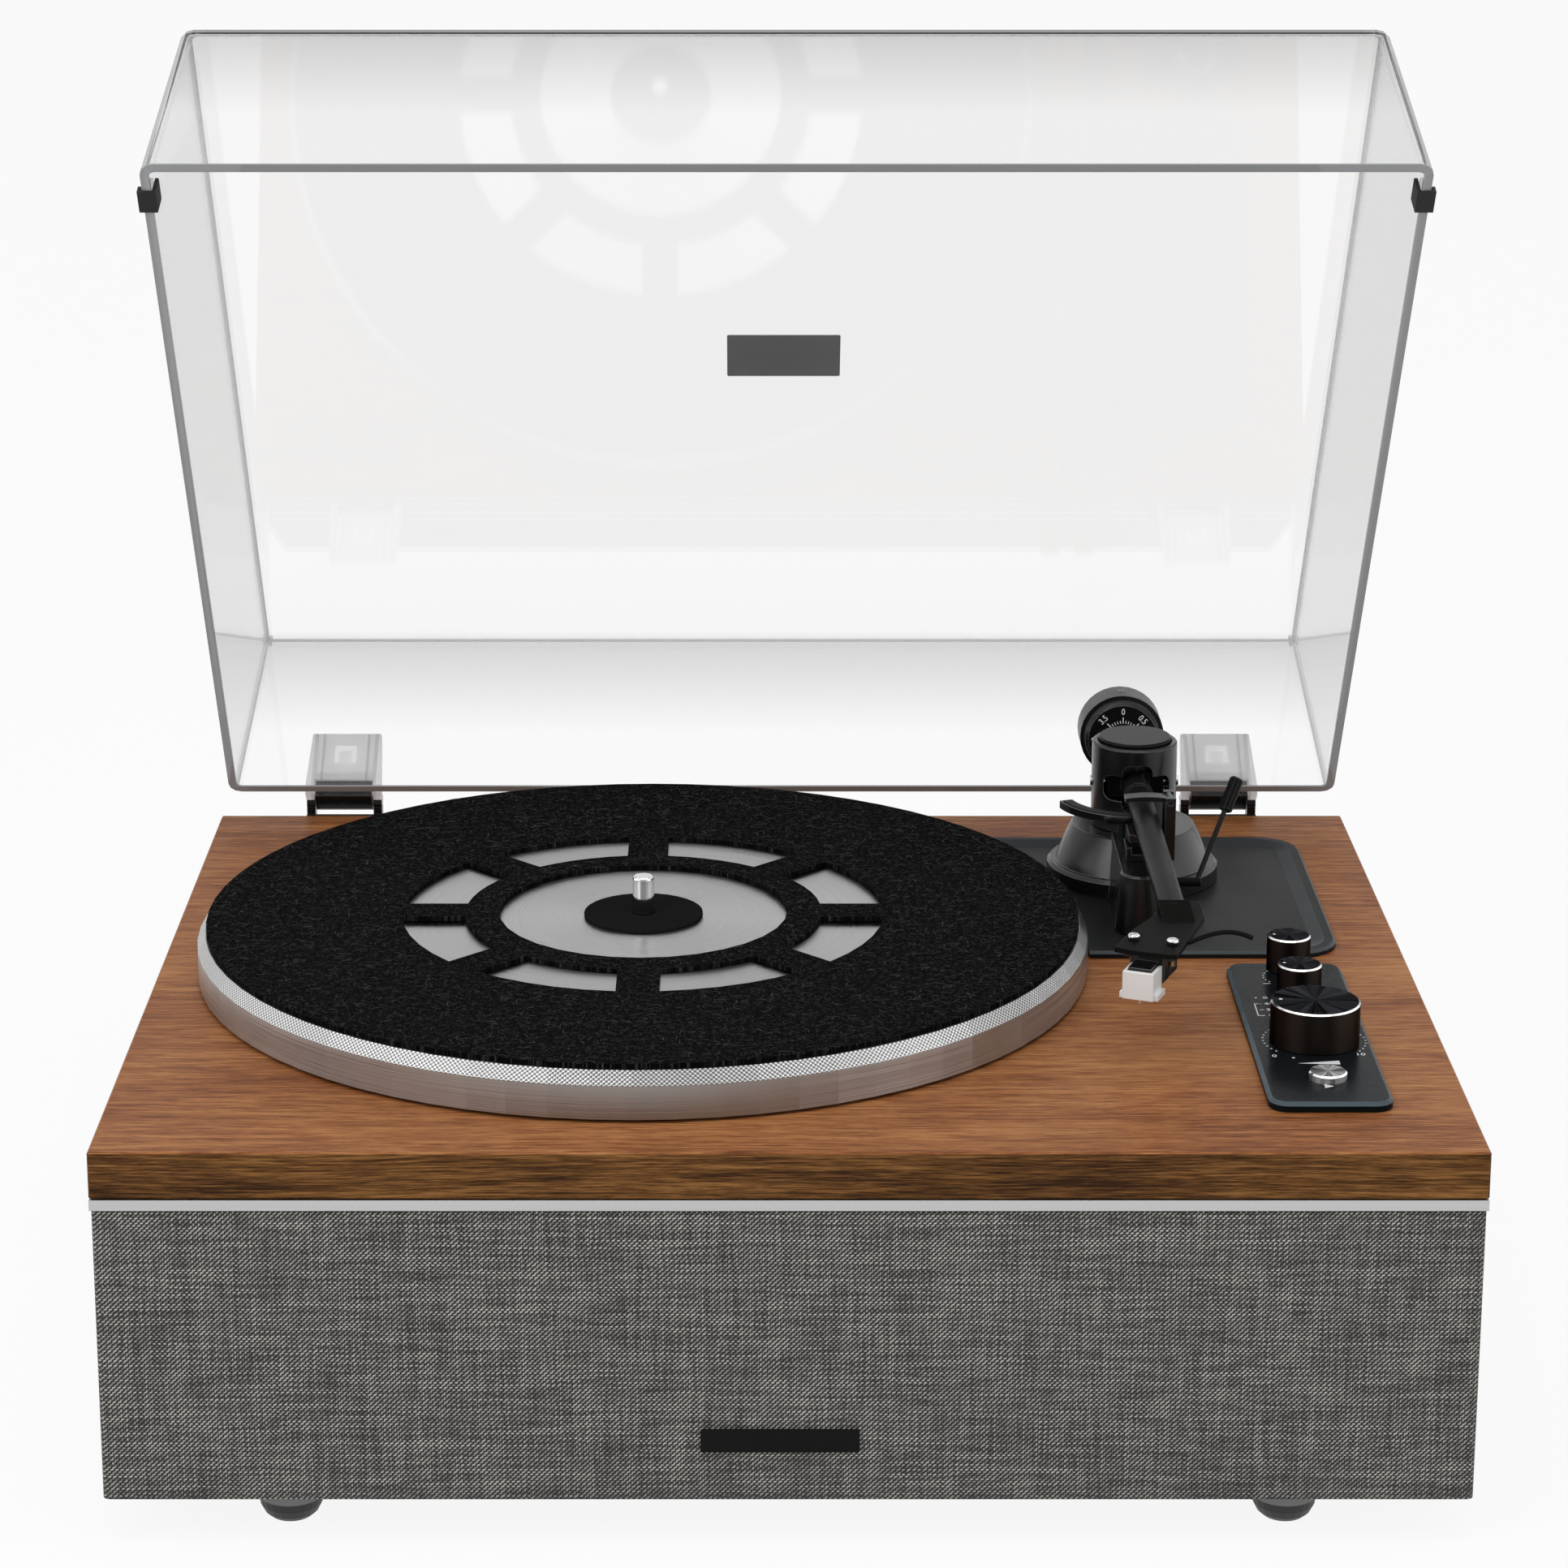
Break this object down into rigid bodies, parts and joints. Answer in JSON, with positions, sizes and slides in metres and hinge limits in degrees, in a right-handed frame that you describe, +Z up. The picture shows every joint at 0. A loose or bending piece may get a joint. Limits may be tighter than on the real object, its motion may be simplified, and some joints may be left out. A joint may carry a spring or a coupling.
{
  "type": "record player",
  "caption": "Record player with built-in speakers: walnut deck on a cloth-covered cabinet, belt-driven platter, gimballed tonearm, knobs on a plate and a clear hinged lid.",
  "frame": {"origin": "middle of the whole footprint, open lid included, at the undersides of the feet", "axes": "seen from the front: +X to the right, +Y to the back, +Z up"},
  "size_m": [0.42, 0.3982, 0.4354],
  "materials": {
    "walnut": "satin walnut veneer with grain along the width",
    "black_mdf": "black painted fibreboard",
    "brushed_aluminium": "finely turned or brushed",
    "grey_cloth": "heather grey speaker cloth",
    "black_rubber": "matt",
    "black_satin_plastic": "satin",
    "black_gloss_plastic": "gloss",
    "black_anodised": "black anodised",
    "black_felt": "felt with loose fibres",
    "chrome": "polished",
    "steel": "plain",
    "brass": "turned",
    "speaker_paper": "pressed paper",
    "circuit_board": "green lacquer",
    "white_plastic": "pale grey",
    "red_plastic": "red",
    "clear_acrylic": "clear and polished",
    "frosted_plastic": "translucent"
  },
  "bodies": {
    "root": {"arm_base": "black_satin_plastic", "arm_pan": "black_satin_plastic", "arm_rest": "black_satin_plastic", "bearing_housing": "brass", "cabinet_shell": "black_mdf", "control_board": "circuit_board", "control_plate": "black_anodised", "dc_inlet": "black_satin_plastic", "deck_panel": "walnut", "drive_belt": "black_rubber", "foot_front_left": "black_rubber", "foot_front_right": "black_rubber", "foot_rear_left": "black_rubber", "foot_rear_right": "black_rubber", "grille_cloth": "grey_cloth", "hinge_base_left": "black_satin_plastic", "hinge_base_right": "black_satin_plastic", "hinge_pin_left": "steel", "hinge_pin_right": "steel", "main_board": "circuit_board", "motor": "steel", "rca_jack_left": "white_plastic", "rca_jack_right": "red_plastic", "rear_panel": "black_satin_plastic", "speaker_cone_left": "speaker_paper", "speaker_cone_right": "speaker_paper", "speaker_frame_left": "steel", "speaker_frame_right": "steel", "trim_strip": "brushed_aluminium"},
    "lid": {"lid_cover": "clear_acrylic", "lid_bumper_left": "black_rubber", "lid_bumper_right": "black_rubber", "hinge_pocket_left": "frosted_plastic", "hinge_pocket_right": "frosted_plastic", "hinge_tongue_left": "black_satin_plastic", "hinge_tongue_right": "black_satin_plastic"},
    "platter": {"platter": "brushed_aluminium", "platter_mat": "black_felt", "hub_disc": "black_gloss_plastic", "spindle": "chrome"},
    "pulley": {"motor_pulley": "brass"},
    "turret": {"pivot_column": "black_satin_plastic", "column_cap": "black_gloss_plastic", "pivot_screw_left": "steel", "pivot_screw_right": "steel"},
    "arm": {"arm_tube": "black_satin_plastic", "headshell": "black_satin_plastic", "headshell_screw_left": "chrome", "headshell_screw_right": "chrome", "cartridge_body": "black_satin_plastic", "stylus_holder": "white_plastic"},
    "counterweight": {"counterweight": "black_anodised"},
    "weight_dial": {"weight_dial": "black_satin_plastic"},
    "cue_lever": {"cue_lever": "black_satin_plastic"},
    "cue_platform": {"cue_platform": "black_satin_plastic"},
    "arm_clip": {"arm_clip": "black_satin_plastic"},
    "volume_knob": {"volume_knob": "black_anodised"},
    "tone_knob": {"tone_knob": "black_anodised"},
    "speed_knob": {"speed_knob": "black_anodised"},
    "start_button": {"start_button": "brushed_aluminium"}
  },
  "joints": [
    {"name": "lid_hinge", "type": "hinge", "parent": "root", "child": "lid", "pos_m": [0, 0.14492, 0.1315], "axis": [-1, 0, 0], "range_deg": [-56.2, 10]},
    {"name": "platter_spin", "type": "hinge", "parent": "root", "child": "platter", "pos_m": [-0.0476, -0.02628, 0.128], "axis": [0, 0, -1], "continuous": true},
    {"name": "pulley_spin", "type": "hinge", "parent": "root", "child": "pulley", "pos_m": [0.0382, 0.04571, 0.128], "axis": [0, 0, -1], "continuous": true},
    {"name": "arm_swing", "type": "hinge", "parent": "root", "child": "turret", "pos_m": [0.1252, 0.06592, 0.164], "axis": [0, 0, -1], "range_deg": [0, 44]},
    {"name": "arm_tilt", "type": "hinge", "parent": "turret", "child": "arm", "pos_m": [0.1252, 0.06592, 0.164], "axis": [-1, 0, 0], "range_deg": [-0.5, 1.8]},
    {"name": "counterweight_turn", "type": "hinge", "parent": "arm", "child": "counterweight", "pos_m": [0.1252, 0.11192, 0.1655], "axis": [0, 1, 0], "range_deg": [-180, 180]},
    {"name": "dial_turn", "type": "hinge", "parent": "counterweight", "child": "weight_dial", "pos_m": [0.1252, 0.11192, 0.1655], "axis": [0, 1, 0], "range_deg": [-180, 180]},
    {"name": "cue_lever_turn", "type": "hinge", "parent": "root", "child": "cue_lever", "pos_m": [0.1252, 0.03022, 0.1376], "axis": [1, 0, 0], "range_deg": [0, 70]},
    {"name": "cue_platform_lift", "type": "slide", "parent": "root", "child": "cue_platform", "axis": [0, 0, 1], "range_m": [-0.004, 0]},
    {"name": "arm_clip_turn", "type": "hinge", "parent": "root", "child": "arm_clip", "pos_m": [0.1335, 0.02142, 0.17095], "axis": [0, 1, 0], "range_deg": [0, 100]},
    {"name": "volume_turn", "type": "hinge", "parent": "root", "child": "volume_knob", "pos_m": [0.1679, -0.11188, 0.1313], "axis": [0, 0, -1], "range_deg": [-60, 240]},
    {"name": "tone_turn", "type": "hinge", "parent": "root", "child": "tone_knob", "pos_m": [0.1679, -0.04328, 0.1313], "axis": [0, 0, -1], "range_deg": [-60, 240]},
    {"name": "speed_turn", "type": "hinge", "parent": "root", "child": "speed_knob", "pos_m": [0.1679, -0.07208, 0.1313], "axis": [0, 0, -1], "range_deg": [-45, 45]},
    {"name": "start_button_press", "type": "slide", "parent": "root", "child": "start_button", "axis": [0, 0, -1], "range_m": [0, 0.0015], "stiffness_N_per_m": 500, "springref_m": -0.001}
  ],
  "couplings": [
    {"joint": "pulley_spin", "follows": "platter_spin", "ratio": 9.75},
    {"joint": "cue_platform_lift", "follows": "cue_lever_turn", "m_per_rad": -0.003273}
  ]
}
